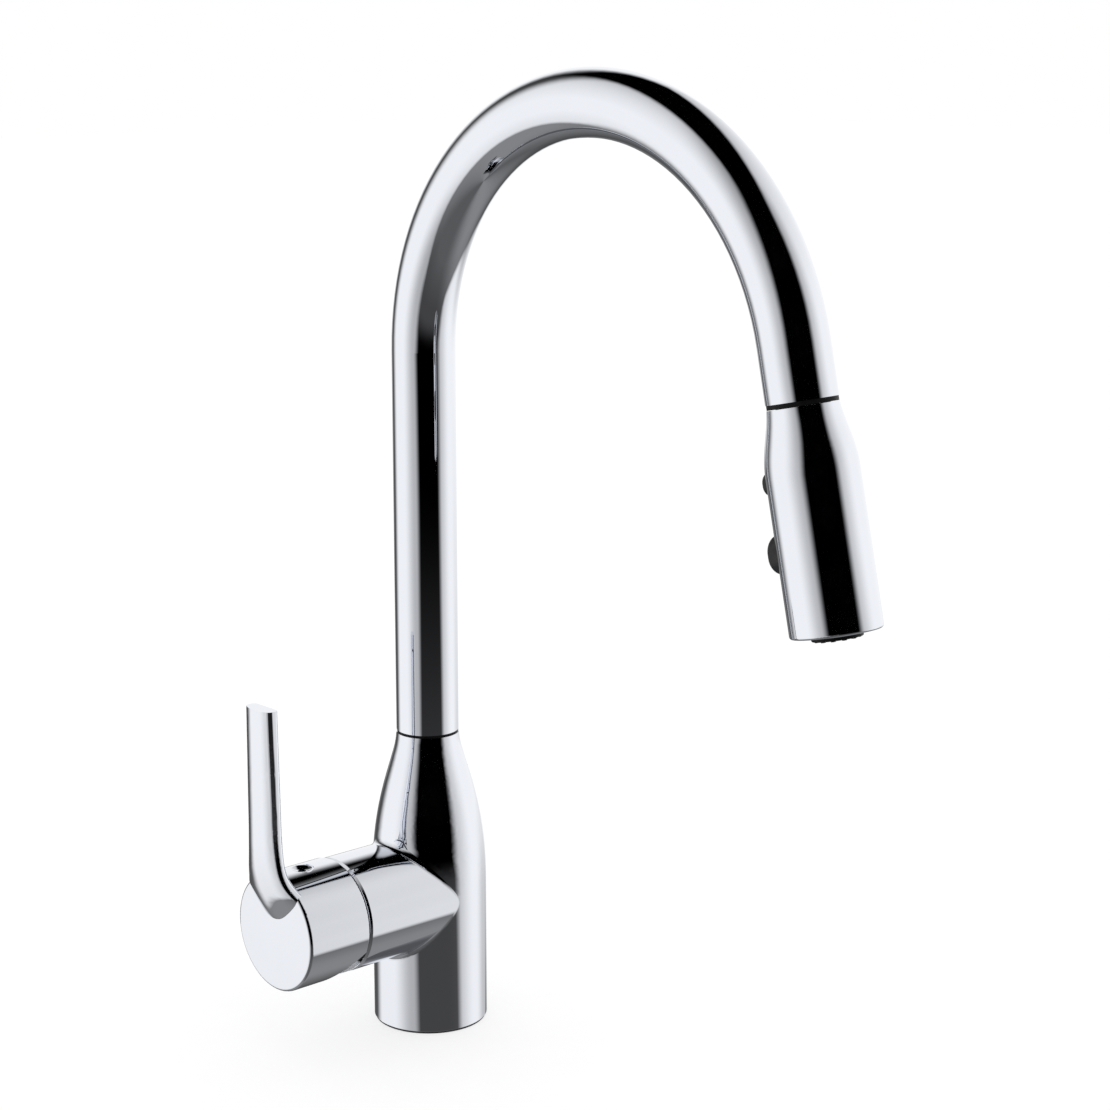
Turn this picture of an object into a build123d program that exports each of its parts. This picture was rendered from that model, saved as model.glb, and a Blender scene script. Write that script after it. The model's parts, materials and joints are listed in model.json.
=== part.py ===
# Pull down kitchen faucet with a swivelling arch spout, a spray head on a hose and a side lever valve.
# Millimetres. The origin is the middle of the base on the deck and +Z is up.
# The spout reaches towards -Y and the handle points towards -X.
import os
from math import cos, radians, sin

from build123d import *

os.makedirs("parts", exist_ok=True)

# Body
base_radius = 24.9
body_height = 130.5
shoulder_height = 62.0
neck_radius = 13.6
shell_wall = 3.0
base_chamfer = 0.6
junction_fillet = 3.0
gasket_height = 0.5
gasket_inset = 0.6
base_plate_height = 12.0
socket_radius = 16.5
screw_radius = 1.25
screw_head_radius = 2.2
screw_head_height = 1.8
screw_length = 16.0

# Spout
tube_radius = 13.5
tube_wall = 1.5
leg_top = 297.0
arch_radius = 105.5
arch_angle = 167.0
tail_length = 21.1
seam_height = 1.2
bush_wall = 1.2
nipple_wall = 1.95
nipple_grip = 24.0
nipple_overhang = 9.0
core_gap = 4.5
seal_width = 2.2
seal_depth = 1.1
clip_height = 1.2

# Hose
hose_radius = 6.0
hose_wall = 2.0
hose_start = 26.0
hose_plug_radius = 7.4
hose_plug_length = 20.0
hose_guide_height = 8.0

# Dock and spray head
dock_ring_height = 1.9
dock_sleeve_length = 20.0
dock_wall = 1.6
head_length = 83.0
head_radius = 17.3
head_neck_radius = 13.4
head_wall = 2.0
flare_length = 24.0
rim_radius = 1.0
spigot_length = 10.0
spigot_flange = 2.5
inlet_radius = 7.4
inlet_depth = 9.0
nut_head_height = 4.0
nut_head_radius = 9.2
core_column_radius = 6.0
core_bore_radius = 3.0
core_foot_start = 64.0
core_foot_height = 6.0
check_valve_radius = 5.0
check_valve_length = 10.0
face_recess = 0.5
face_boss_radius = 9.6
face_boss_projection = 2.0
face_thickness = 4.3
pad_thickness = 3.0
nozzle_radius = 0.9
nozzle_projection = 0.3
inner_nozzles = 12
outer_nozzles = 18
aerator_radius = 6.0
aerator_wall = 1.2

# Buttons, with their distance from the head seam
upper_button_station = 26.5
upper_button_width = 16.0
upper_button_height = 9.0
upper_button_proud = 1.5
upper_button_travel = 1.2
lower_button_station = 52.5
lower_button_width = 20.0
lower_button_height = 15.0
lower_button_proud = 2.8
lower_button_travel = 2.0
button_flange = 1.0
button_flange_front = 10.2
button_flange_thickness = 1.5
plunger_radius = 1.5
spring_radius = 3.2
spring_wire = 0.25
spring_turns = 3
spring_seat = 4.2

# Valve, with distances along its axis from the middle of the body
valve_height = 59.0
housing_radius = 24.6
housing_reach = 52.2
housing_wall = 3.4
housing_edge = 0.9
core_face = 15.0
core_rise = 13.0
cup_wall = 3.5
cup_floor = 4.0
cup_setback = 1.2
port_radius = 2.8
port_circle = 12.0
port_angle = 48.0
supply_port_radius = 3.5
supply_port_depth = 12.0
upper_port_rise = 4.0
lower_port_drop = 7.0
hose_way = 7.9
cartridge_foot = 4.0
cartridge_wall = 3.0
cartridge_front = 3.0
cartridge_mouth = 12.0
port_seal_width = 1.2
port_seal_height = 1.2
disc_thickness = 3.0
fixed_disc_radius = 13.5
moving_disc_radius = 12.2
moving_disc_drop = 1.57
water_film = 0.05
driver_height = 3.5
driver_slot_width = 10.0
driver_slot_height = 7.2
driver_slot_depth = 3.0
carrier_play = 0.45
carrier_slot_rise = 6.0
pivot_setback = 7.5
pivot_drop = 8.0
pin_radius = 1.5
pin_length = 21.0
nut_bore = 13.5
nut_height = 3.5
bonnet_flange = 1.0
seam_depth = 1.6
bonnet_height = 6.2
bonnet_mouth = 16.5
bonnet_wall = 1.6
tongue_start = 15.7
tongue_radius = 24.4
tongue_reach = 5.3

# Handle
hub_radius = 25.2
hub_gap = 1.5
hub_length = 30.9
hub_wall = 2.3
hub_face = 4.6
hub_edge = 1.5
hub_back_edge = 0.25
relief_start = 9.8
relief_slope = 0.85
lever_rise = 98.5
lever_width = 16.6
lever_proud = 7.7
lever_crown = 16.0
lever_side = 4.6
lever_corner = 2.6
lever_back_corner = 1.8
root_start = 6.4
root_rise = 35.6
root_fullness = 2.6
blade_steps = 8
stem_width = 9.0
stem_top = 4.5
stem_bottom = 7.5
stem_grip = 23.3
boss_inset = 10.3
boss_width = 16.0
boss_top = 12.0
boss_bottom = 11.0
set_screw_inset = 15.8
set_screw_radius = 2.5
set_screw_length = 7.0
set_screw_socket = 1.25
plug_radius = 5.1
plug_well_wall = 1.8
plug_depth = 4.0
plug_recess = 0.3
plug_dish = 1.3
plug_bore = 1.7
plug_dish_radius = 8.2

# Clearances
run_clearance = 0.05
seam_gap = 0.1
loose_clearance = 0.3
dock_clearance = 0.4

# Sizes that follow from the ones above
shell_bore = base_radius - shell_wall
cavity_top = valve_height + core_rise
nipple_start = cavity_top + core_gap
bush_start = nipple_start + nipple_overhang
bush_length = body_height - bush_start
bush_radius = tube_radius - tube_wall
bush_bore = bush_radius - bush_wall
nipple_radius = bush_bore - run_clearance
nipple_bore = nipple_radius - nipple_wall
tube_start = body_height + seam_height
floor_height = gasket_height + base_plate_height
housing_bore = housing_radius - housing_wall
cup_bore = housing_bore - cup_wall
cup_reach = housing_reach - cup_setback
cup_inside = core_face + cup_floor
disc_seat = cup_inside + cartridge_foot
moving_seat = disc_seat + disc_thickness + water_film
driver_seat = moving_seat + disc_thickness
carrier_seat = driver_seat + driver_height + loose_clearance
cartridge_bore = cup_bore - cartridge_wall
carrier_radius = cartridge_bore - loose_clearance
cartridge_reach = cup_reach - nut_height
carrier_height = cartridge_reach - cartridge_front - carrier_play - carrier_seat
pivot_reach = cartridge_reach - pivot_setback
hub_start = housing_reach + hub_gap
hub_reach = hub_start + hub_length
stem_reach = hub_start + stem_grip
boss_start = hub_start + boss_inset
set_screw_reach = hub_start + set_screw_inset
dock_bore = bush_radius - dock_wall
spigot_radius = dock_bore - dock_clearance
head_bore = head_radius - head_wall
port_spread = port_circle * sin(radians(port_angle))
port_setback = port_circle * cos(radians(port_angle))
upper_ports = [(-port_spread, upper_port_rise), (port_spread, upper_port_rise)]
port_points = upper_ports + [(0, -lower_port_drop)]

# Planes of the valve: the axis runs outwards, local x is -Y and local y is up
valve = Plane(origin=(0, 0, valve_height), x_dir=(0, -1, 0), z_dir=(-1, 0, 0))
side = Plane(origin=(0, 0, valve_height), x_dir=(-1, 0, 0), z_dir=(0, 1, 0))

# Centre line of the spout, and the frame of the spray head at its end
with BuildLine(Plane.YZ) as spout_line:
    leg = Line((0, tube_start), (0, leg_top))
    arch = JernArc(start=leg @ 1, tangent=leg % 1, radius=arch_radius, arc_size=arch_angle)
    tail = Line(arch @ 1, arch @ 1 + (arch % 1) * tail_length)
outward = tail % 1
seam = tail @ 1 + outward * dock_ring_height
inward = Vector(1, 0, 0).cross(outward)
head = Plane(origin=seam, x_dir=(1, 0, 0), z_dir=outward)
head_side = Plane(origin=seam, x_dir=(1, 0, 0), z_dir=inward)
head_axis = Axis(seam, outward)


def button_plane(station):
    """Plane through the head axis that faces the body, at a distance from the head seam."""
    return Plane(origin=seam + outward * station, x_dir=(1, 0, 0), z_dir=-head.y_dir)


# Body shell with the valve housing
shoulder_drop = base_radius - neck_radius
shoulder_rise = body_height - shoulder_height
with BuildPart() as body_shell:
    with BuildSketch(Plane.XZ):
        with BuildLine():
            foot = Polyline(
                (0, gasket_height),
                (base_radius - base_chamfer, gasket_height),
                (base_radius, gasket_height + base_chamfer),
                (base_radius, shoulder_height),
            )
            shoulder = Spline(
                foot @ 1,
                (base_radius - 0.062 * shoulder_drop, shoulder_height + 0.27 * shoulder_rise),
                (base_radius - 0.226 * shoulder_drop, shoulder_height + 0.47 * shoulder_rise),
                (base_radius - 0.504 * shoulder_drop, shoulder_height + 0.67 * shoulder_rise),
                (base_radius - 0.858 * shoulder_drop, shoulder_height + 0.87 * shoulder_rise),
                (neck_radius, body_height),
                tangents=[(0, 1), (-0.06, 1)],
            )
            Polyline(shoulder @ 1, (0, body_height), (0, gasket_height))
        make_face()
    revolve(axis=Axis.Z)
    with BuildSketch(valve):
        Circle(housing_radius)
    extrude(amount=housing_reach)
    junction = body_shell.edges().filter_by(GeomType.BSPLINE)
    fillet(junction.filter_by_position(Axis.X, -housing_reach, -1), junction_fillet)
    chamfer(body_shell.faces().sort_by(Axis.X)[0].edges(), housing_edge)
    with BuildSketch(Plane.XZ):
        with BuildLine():
            Polyline(
                (0, gasket_height),
                (shell_bore, gasket_height),
                (shell_bore, cavity_top),
                (bush_radius, bush_start),
                (bush_radius, body_height),
                (0, body_height),
                close=True,
            )
        make_face()
    revolve(axis=Axis.Z, mode=Mode.SUBTRACT)
    with BuildSketch(valve):
        Circle(housing_bore)
    extrude(amount=housing_reach, mode=Mode.SUBTRACT)
body_shell.part.label = "body_shell"
export_step(body_shell.part, "parts/body_shell.step")

# Foot
with BuildPart() as deck_gasket:
    with BuildSketch():
        Circle(base_radius - gasket_inset)
        Circle(socket_radius + 1, mode=Mode.SUBTRACT)
    extrude(amount=gasket_height)
deck_gasket.part.label = "deck_gasket"
export_step(deck_gasket.part, "parts/deck_gasket.step")

screw_circle = (socket_radius + shell_bore) / 2
with BuildPart() as base_plate:
    with BuildSketch(Plane.XY.offset(gasket_height)):
        Circle(shell_bore)
        Circle(socket_radius, mode=Mode.SUBTRACT)
    extrude(amount=base_plate_height)
    with BuildSketch(Plane.XY.offset(gasket_height)):
        with PolarLocations(screw_circle, 3):
            Circle(screw_radius)
    extrude(amount=base_plate_height, mode=Mode.SUBTRACT)
    with BuildSketch(Plane.XY.offset(gasket_height)):
        with PolarLocations(screw_circle, 3):
            Circle(screw_head_radius)
    extrude(amount=screw_head_height, mode=Mode.SUBTRACT)
base_plate.part.label = "base_plate"
export_step(base_plate.part, "parts/base_plate.step")

with BuildPart() as core_screws:
    with BuildSketch(Plane.XY.offset(gasket_height)):
        with PolarLocations(screw_circle, 3):
            Circle(screw_head_radius)
    extrude(amount=screw_head_height)
    with BuildSketch(Plane.XY.offset(gasket_height + screw_head_height)):
        with PolarLocations(screw_circle, 3):
            Circle(screw_radius)
    extrude(amount=screw_length)
core_screws.part.label = "core_screws"
export_step(core_screws.part, "parts/core_screws.step")

# Mixer core with three water ways from the foot to the cartridge
with BuildPart() as mixer_core:
    with BuildSketch(Plane.XY.offset(floor_height)):
        Circle(shell_bore)
    extrude(amount=cavity_top - floor_height)
    with BuildSketch(valve.offset(core_face)):
        with Locations((0, (shell_bore - housing_bore) / 2)):
            Rectangle(4 * shell_bore, 2 * housing_bore + shell_bore - housing_bore)
    extrude(amount=shell_bore, mode=Mode.SUBTRACT)
    with BuildSketch(Plane.XY.offset(floor_height)):
        with PolarLocations(port_circle, 3, 180 - port_angle, 2 * port_angle, endpoint=True):
            Circle(port_radius)
    extrude(amount=valve_height + upper_port_rise - floor_height, mode=Mode.SUBTRACT)
    with BuildSketch(Plane.XY.offset(floor_height)):
        with PolarLocations(port_circle, 3, 180 - port_angle, 2 * port_angle, endpoint=True):
            Circle(supply_port_radius)
    extrude(amount=supply_port_depth, mode=Mode.SUBTRACT)
    with BuildSketch(Plane.XY.offset(floor_height)):
        Circle(hose_way)
    extrude(amount=cavity_top - floor_height, mode=Mode.SUBTRACT)
    with BuildSketch(valve.offset(port_setback)):
        with Locations(*upper_ports):
            Circle(port_radius)
    extrude(amount=core_face - port_setback, mode=Mode.SUBTRACT)
    with BuildSketch(valve.offset(port_circle)):
        with Locations((0, -lower_port_drop)):
            Circle(port_radius)
    extrude(amount=core_face - port_circle, mode=Mode.SUBTRACT)
    with BuildSketch(Plane.XY.offset(floor_height)):
        with PolarLocations(screw_circle, 3):
            Circle(screw_radius)
    extrude(amount=screw_head_height + screw_length - base_plate_height, mode=Mode.SUBTRACT)
mixer_core.part.label = "mixer_core"
export_step(mixer_core.part, "parts/mixer_core.step")

# Valve cartridge in its cup
with BuildPart() as cartridge_cup:
    with BuildSketch(valve.offset(core_face)):
        Circle(housing_bore)
    extrude(amount=cup_reach - core_face)
    with BuildSketch(valve.offset(cup_inside)):
        Circle(cup_bore)
    extrude(amount=cup_reach - cup_inside, mode=Mode.SUBTRACT)
    with BuildSketch(valve.offset(core_face)):
        with Locations(*port_points):
            Circle(port_radius)
    extrude(amount=cup_floor, mode=Mode.SUBTRACT)
cartridge_cup.part.label = "cartridge_cup"
export_step(cartridge_cup.part, "parts/cartridge_cup.step")

with BuildPart() as cartridge_base:
    with BuildSketch(valve.offset(cup_inside)):
        Circle(cup_bore)
        with Locations(*port_points):
            Circle(port_radius, mode=Mode.SUBTRACT)
    extrude(amount=cartridge_foot)
    with BuildSketch(valve.offset(cup_inside)):
        with Locations(*port_points):
            Circle(port_radius + port_seal_width)
    extrude(amount=port_seal_height, mode=Mode.SUBTRACT)
cartridge_base.part.label = "cartridge_base"
export_step(cartridge_base.part, "parts/cartridge_base.step")

with BuildPart() as cartridge_seals:
    with BuildSketch(valve.offset(cup_inside)):
        with Locations(*port_points):
            Circle(port_radius + port_seal_width)
            Circle(port_radius, mode=Mode.SUBTRACT)
    extrude(amount=port_seal_height)
cartridge_seals.part.label = "cartridge_seals"
export_step(cartridge_seals.part, "parts/cartridge_seals.step")

with BuildPart() as fixed_disc:
    with BuildSketch(valve.offset(disc_seat)):
        Circle(fixed_disc_radius)
        with Locations(*port_points):
            Circle(port_radius, mode=Mode.SUBTRACT)
    extrude(amount=disc_thickness)
fixed_disc.part.label = "fixed_disc"
export_step(fixed_disc.part, "parts/fixed_disc.step")

with BuildPart() as cartridge_body:
    with BuildSketch(valve.offset(disc_seat)):
        Circle(cup_bore)
        Circle(cartridge_bore, mode=Mode.SUBTRACT)
    extrude(amount=cartridge_reach - disc_seat)
    with BuildSketch(valve.offset(cartridge_reach)):
        Circle(cup_bore)
        Circle(cartridge_mouth, mode=Mode.SUBTRACT)
    extrude(amount=-cartridge_front)
    with BuildSketch(valve.offset(disc_seat)):
        Circle(cup_bore)
        Circle(fixed_disc_radius, mode=Mode.SUBTRACT)
    extrude(amount=disc_thickness)
cartridge_body.part.label = "cartridge_body"
export_step(cartridge_body.part, "parts/cartridge_body.step")

with BuildPart() as retaining_nut:
    with BuildSketch(valve.offset(cartridge_reach)):
        Circle(cup_bore)
        Circle(nut_bore, mode=Mode.SUBTRACT)
    extrude(amount=nut_height)
    with BuildSketch(valve.offset(cup_reach)):
        with GridLocations(2 * cup_bore, 0, 2, 1):
            Rectangle(5, 4)
    extrude(amount=-nut_height / 2, mode=Mode.SUBTRACT)
retaining_nut.part.label = "retaining_nut"
export_step(retaining_nut.part, "parts/retaining_nut.step")

# Bonnet, a collar under the hub that turns with the handle and fills the cut in its lower edge
bonnet_edge = hub_radius - hub_wall - loose_clearance
bonnet_front = housing_reach + seam_gap + bonnet_flange
bonnet_reach = bonnet_front + bonnet_height
bonnet_lip = bonnet_mouth + 0.7
with BuildPart() as bonnet:
    with BuildSketch(valve.offset(bonnet_front)):
        Circle(tongue_radius)
        Circle(bonnet_edge - 2 * bonnet_wall, mode=Mode.SUBTRACT)
    extrude(amount=tongue_reach)
    with BuildSketch(side):
        with BuildLine():
            Polyline(
                (bonnet_front, -tongue_start),
                (bonnet_front + tongue_reach, -tongue_radius),
                (bonnet_front + tongue_reach, 2 * hub_radius),
                (bonnet_front, 2 * hub_radius),
                close=True,
            )
        make_face()
    extrude(amount=2 * hub_radius, both=True, mode=Mode.SUBTRACT)
    with BuildSketch(side):
        with BuildLine():
            skirt = Polyline(
                (cup_reach + loose_clearance, bonnet_edge - 2 * bonnet_wall),
                (cup_reach + loose_clearance, housing_bore - loose_clearance),
                (housing_reach + seam_gap, housing_bore - loose_clearance),
                (housing_reach + seam_gap, housing_radius - seam_depth),
                (bonnet_front, housing_radius - seam_depth),
                (bonnet_front, bonnet_edge),
            )
            dome = ThreePointArc(
                skirt @ 1,
                ((bonnet_front + bonnet_reach) / 2 + 0.5, (bonnet_edge + bonnet_lip) / 2 + 0.6),
                (bonnet_reach, bonnet_lip),
            )
            Polyline(
                dome @ 1,
                (bonnet_reach, bonnet_mouth),
                (bonnet_reach - bonnet_wall, bonnet_mouth),
                (bonnet_front, bonnet_edge - 2 * bonnet_wall),
                skirt @ 0,
            )
        make_face()
    revolve(axis=Axis((0, 0, valve_height), (-1, 0, 0)))
bonnet.part.label = "bonnet"
export_step(bonnet.part, "parts/bonnet.step")

# Moving disc and its driver plate, held by the stem
with BuildPart() as moving_disc:
    with BuildSketch(valve.offset(moving_seat)):
        with Locations((0, -moving_disc_drop)):
            Circle(moving_disc_radius)
            Rectangle(2 * port_radius, 8, mode=Mode.SUBTRACT)
    extrude(amount=disc_thickness)
moving_disc.part.label = "moving_disc"
export_step(moving_disc.part, "parts/moving_disc.step")

with BuildPart() as disc_driver:
    with BuildSketch(valve.offset(driver_seat)):
        with Locations((0, -moving_disc_drop)):
            Circle(moving_disc_radius)
    extrude(amount=driver_height)
    with BuildSketch(valve.offset(driver_seat + driver_height)):
        with Locations((0, -pivot_drop)):
            Rectangle(driver_slot_width, driver_slot_height)
    extrude(amount=-driver_slot_depth, mode=Mode.SUBTRACT)
disc_driver.part.label = "disc_driver"
export_step(disc_driver.part, "parts/disc_driver.step")

# Turning carrier with the pivot pin
with BuildPart() as turning_carrier:
    with BuildSketch(valve.offset(carrier_seat)):
        Circle(carrier_radius)
        with Locations((0, -carrier_radius / 2)):
            Rectangle(
                stem_width + 2 * loose_clearance,
                carrier_radius + 2 * carrier_slot_rise,
                mode=Mode.SUBTRACT,
            )
    extrude(amount=carrier_height)
    with BuildSketch(Plane.XZ.offset(-pin_length / 2)):
        with Locations((-pivot_reach, valve_height - pivot_drop)):
            Circle(pin_radius)
    extrude(amount=pin_length, mode=Mode.SUBTRACT)
turning_carrier.part.label = "turning_carrier"
export_step(turning_carrier.part, "parts/turning_carrier.step")

with BuildPart() as pivot_pin:
    with BuildSketch(Plane.XZ.offset(-pin_length / 2)):
        with Locations((-pivot_reach, valve_height - pivot_drop)):
            Circle(pin_radius)
    extrude(amount=pin_length)
pivot_pin.part.label = "pivot_pin"
export_step(pivot_pin.part, "parts/pivot_pin.step")

# Stem on the pivot pin, with an arm that reaches into the driver plate
arm_tip = driver_seat + driver_height - driver_slot_depth + 0.5
with BuildPart() as stem:
    with BuildSketch(side):
        with BuildLine():
            Polyline(
                (arm_tip, -pivot_drop - 2),
                (arm_tip, -pivot_drop + 2),
                (pivot_reach - 4, -pivot_drop + 2.8),
                (pivot_reach + 3, -pivot_drop + 4),
                (cartridge_reach - 0.5, stem_top),
                (stem_reach, stem_top),
                (stem_reach, -stem_bottom),
                (cartridge_reach + 0.5, -stem_bottom),
                (pivot_reach + 3, -pivot_drop - 2.8),
                (pivot_reach - 4, -pivot_drop - 2.8),
                close=True,
            )
        make_face()
    extrude(amount=stem_width / 2, both=True)
    with BuildSketch(side.offset(-stem_width)):
        with Locations((pivot_reach, -pivot_drop)):
            Circle(pin_radius + run_clearance)
    extrude(amount=2 * stem_width, mode=Mode.SUBTRACT)
stem.part.label = "stem"
export_step(stem.part, "parts/stem.step")

# Handle: hub and lever in one casting
# Each row of the lever is its height, then shares of its width, crown radius and side depth
lever_rows = [
    (root_start - 3.4, 1.7, 1.0, 1.0),
    (8.0, 1.9, 1.15, 1.0),
    (13.0, 2.1, 1.52, 1.0),
    (18.0, 2.03, 1.84, 1.05),
    (23.0, 1.62, 1.65, 1.0),
    (28.0, 1.385, 1.47, 0.87),
    (34.0, 1.247, 1.22, 0.84),
    (40.0, 1.172, 1.13, 0.88),
    (46.0, 1.13, 1.09, 0.9),
]
root_top = lever_rows[-1][0]
for step in range(1, blade_steps + 1):
    share = step / blade_steps
    height = root_top + (lever_rise - root_top) * share
    lever_rows.append((height, 1.13 - 0.13 * share, 1.09 - 0.09 * share, 0.9 + 0.1 * share))
plug_top = hub_radius - plug_recess
with BuildPart() as handle:
    with BuildSketch(valve.offset(hub_start)):
        Circle(hub_radius)
    extrude(amount=hub_reach - hub_start)
    fillet(handle.faces().sort_by(Axis.X)[0].edges(), hub_edge)
    fillet(handle.faces().sort_by(Axis.X)[-1].edges(), hub_back_edge)
    for height, width, crown, depth in lever_rows:
        short_of_top = max(0, 1 - (height - root_start) / root_rise)
        front = -hub_reach - lever_proud * (1 - short_of_top**root_fullness)
        half_width = width * lever_width / 2
        crown_radius = crown * lever_crown
        edge = front + crown_radius - (crown_radius**2 - half_width**2) ** 0.5
        back = edge + depth * lever_side
        with BuildSketch(Plane.XY.offset(valve_height + height)) as lever_section:
            with BuildLine():
                face = ThreePointArc((edge, half_width), (front, 0), (edge, -half_width))
                Polyline(face @ 1, (back, -half_width), (back, half_width), face @ 0)
            make_face()
            fillet(lever_section.vertices().sort_by(Axis.X)[:2], lever_corner)
            fillet(lever_section.vertices().sort_by(Axis.X)[-2:], lever_back_corner)
    loft()
    with BuildSketch(valve.offset(hub_start)):
        Circle(hub_radius - hub_wall)
    extrude(amount=hub_reach - hub_face - hub_start, mode=Mode.SUBTRACT)
    with BuildSketch(valve.offset(boss_start)):
        with Locations((0, (boss_top - boss_bottom) / 2)):
            Rectangle(boss_width, boss_top + boss_bottom)
    extrude(amount=hub_reach - hub_face - boss_start)
    with BuildSketch(valve.offset(boss_start)):
        with Locations((0, (stem_top - stem_bottom) / 2)):
            Rectangle(stem_width, stem_top + stem_bottom)
    extrude(amount=stem_reach - boss_start, mode=Mode.SUBTRACT)
    with BuildSketch(Plane.XY.offset(valve_height + plug_top - plug_depth - plug_well_wall)):
        with Locations((-set_screw_reach, 0)):
            Circle(plug_radius + plug_well_wall)
    extrude(amount=plug_depth)
    with BuildSketch(Plane.XY.offset(valve_height + plug_top - plug_depth)):
        with Locations((-set_screw_reach, 0)):
            Circle(plug_radius)
    extrude(amount=hub_radius, mode=Mode.SUBTRACT)
    with BuildSketch(Plane.XY.offset(valve_height)):
        with Locations((-set_screw_reach, 0)):
            Circle(set_screw_radius)
    extrude(amount=hub_radius, mode=Mode.SUBTRACT)
    with BuildSketch(side):
        with BuildLine():
            Polyline(
                (hub_start - 1, -relief_start),
                (hub_start, -relief_start),
                (hub_start + (hub_radius + 2) / relief_slope, -relief_start - hub_radius - 2),
                (hub_start - 1, -relief_start - hub_radius - 2),
                close=True,
            )
        make_face()
    extrude(amount=hub_radius, both=True, mode=Mode.SUBTRACT)
handle.part.label = "handle"
export_step(handle.part, "parts/handle.step")

with BuildPart() as set_screw:
    with BuildSketch(Plane.XY.offset(valve_height + stem_top)):
        with Locations((-set_screw_reach, 0)):
            Circle(set_screw_radius)
    extrude(amount=set_screw_length)
    with BuildSketch(Plane.XY.offset(valve_height + stem_top + set_screw_length)):
        with Locations((-set_screw_reach, 0)):
            RegularPolygon(set_screw_socket, 6)
    extrude(amount=-set_screw_length / 2, mode=Mode.SUBTRACT)
set_screw.part.label = "set_screw"
export_step(set_screw.part, "parts/set_screw.step")

with BuildPart() as screw_plug:
    with BuildSketch(Plane.XY.offset(valve_height + plug_top - plug_depth)):
        with Locations((-set_screw_reach, 0)):
            Circle(plug_radius)
    extrude(amount=plug_depth)
    with Locations((-set_screw_reach, 0, valve_height + plug_top + plug_dish_radius - plug_dish)):
        Sphere(plug_dish_radius, mode=Mode.SUBTRACT)
    with BuildSketch(Plane.XY.offset(valve_height)):
        with Locations((-set_screw_reach, 0)):
            Circle(plug_bore)
    extrude(amount=hub_radius, mode=Mode.SUBTRACT)
screw_plug.part.label = "screw_plug"
export_step(screw_plug.part, "parts/screw_plug.step")

# Spout bearing in the neck of the body
with BuildPart() as neck_bush:
    with BuildSketch(Plane.XY.offset(bush_start)):
        Circle(bush_radius)
        Circle(bush_bore, mode=Mode.SUBTRACT)
    extrude(amount=bush_length)
neck_bush.part.label = "neck_bush"
export_step(neck_bush.part, "parts/neck_bush.step")

with BuildPart() as slide_ring:
    with BuildSketch(Plane.XY.offset(body_height)):
        Circle(tube_radius - 0.3)
        Circle(bush_bore + loose_clearance, mode=Mode.SUBTRACT)
    extrude(amount=seam_height - water_film)
slide_ring.part.label = "slide_ring"
export_step(slide_ring.part, "parts/slide_ring.step")

# Spout tube
with BuildPart() as spout_tube:
    with BuildSketch(Plane.XY.offset(tube_start)):
        Circle(tube_radius)
        Circle(tube_radius - tube_wall, mode=Mode.SUBTRACT)
    sweep(path=spout_line.wire())
spout_tube.part.label = "spout_tube"
export_step(spout_tube.part, "parts/spout_tube.step")

# Nipple of the spout, which turns in the bush
seal_stations = [bush_start + bush_length * 0.35, bush_start + bush_length * 0.6]
clip_start = bush_start - loose_clearance - clip_height
with BuildPart() as spout_nipple:
    with BuildSketch(Plane.XY.offset(nipple_start)):
        Circle(nipple_radius)
    extrude(amount=tube_start - nipple_start)
    with BuildSketch(Plane.XY.offset(tube_start)):
        Circle(bush_radius)
    extrude(amount=nipple_grip)
    with BuildSketch(Plane.XY.offset(nipple_start)):
        Circle(nipple_bore)
    extrude(amount=tube_start + nipple_grip - nipple_start, mode=Mode.SUBTRACT)
    for station in seal_stations:
        with BuildSketch(Plane.XY.offset(station)):
            Circle(nipple_radius)
            Circle(nipple_radius - seal_depth, mode=Mode.SUBTRACT)
        extrude(amount=seal_width, mode=Mode.SUBTRACT)
    with BuildSketch(Plane.XY.offset(clip_start)):
        Circle(nipple_radius)
        Circle(nipple_radius - seal_depth, mode=Mode.SUBTRACT)
    extrude(amount=clip_height, mode=Mode.SUBTRACT)
spout_nipple.part.label = "spout_nipple"
export_step(spout_nipple.part, "parts/spout_nipple.step")

with BuildPart() as spout_seals:
    for station in seal_stations:
        with BuildSketch(Plane.XY.offset(station)):
            Circle(nipple_radius)
            Circle(nipple_radius - seal_depth, mode=Mode.SUBTRACT)
        extrude(amount=seal_width)
spout_seals.part.label = "spout_seals"
export_step(spout_seals.part, "parts/spout_seals.step")

with BuildPart() as retaining_ring:
    with BuildSketch(Plane.XY.offset(clip_start)):
        Circle(bush_radius - 0.2)
        Circle(nipple_radius - seal_depth, mode=Mode.SUBTRACT)
        with Locations((bush_radius, 0)):
            Rectangle(bush_radius, 3, mode=Mode.SUBTRACT)
    extrude(amount=clip_height)
retaining_ring.part.label = "retaining_ring"
export_step(retaining_ring.part, "parts/retaining_ring.step")

# Hose along the centre line of the spout, with its guide and its lower plug
hose_top = -spigot_length - nut_head_height - 1
with BuildPart() as hose:
    with BuildLine(Plane.YZ) as hose_line:
        hose_leg = Line((0, hose_start), (0, leg_top))
        hose_arch = JernArc(
            start=hose_leg @ 1, tangent=hose_leg % 1, radius=arch_radius, arc_size=arch_angle
        )
        Line(hose_arch @ 1, hose_arch @ 1 + (hose_arch % 1) * (tail_length + dock_ring_height + hose_top))
    with BuildSketch(Plane.XY.offset(hose_start)):
        Circle(hose_radius)
        Circle(hose_radius - hose_wall, mode=Mode.SUBTRACT)
    sweep(path=hose_line.wire())
hose.part.label = "hose"
export_step(hose.part, "parts/hose.step")

with BuildPart() as hose_guide:
    with BuildSketch(Plane.XY.offset(tube_start + nipple_grip - hose_guide_height)):
        Circle(nipple_bore)
        Circle(hose_radius, mode=Mode.SUBTRACT)
    extrude(amount=hose_guide_height)
hose_guide.part.label = "hose_guide"
export_step(hose_guide.part, "parts/hose_guide.step")

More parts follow.
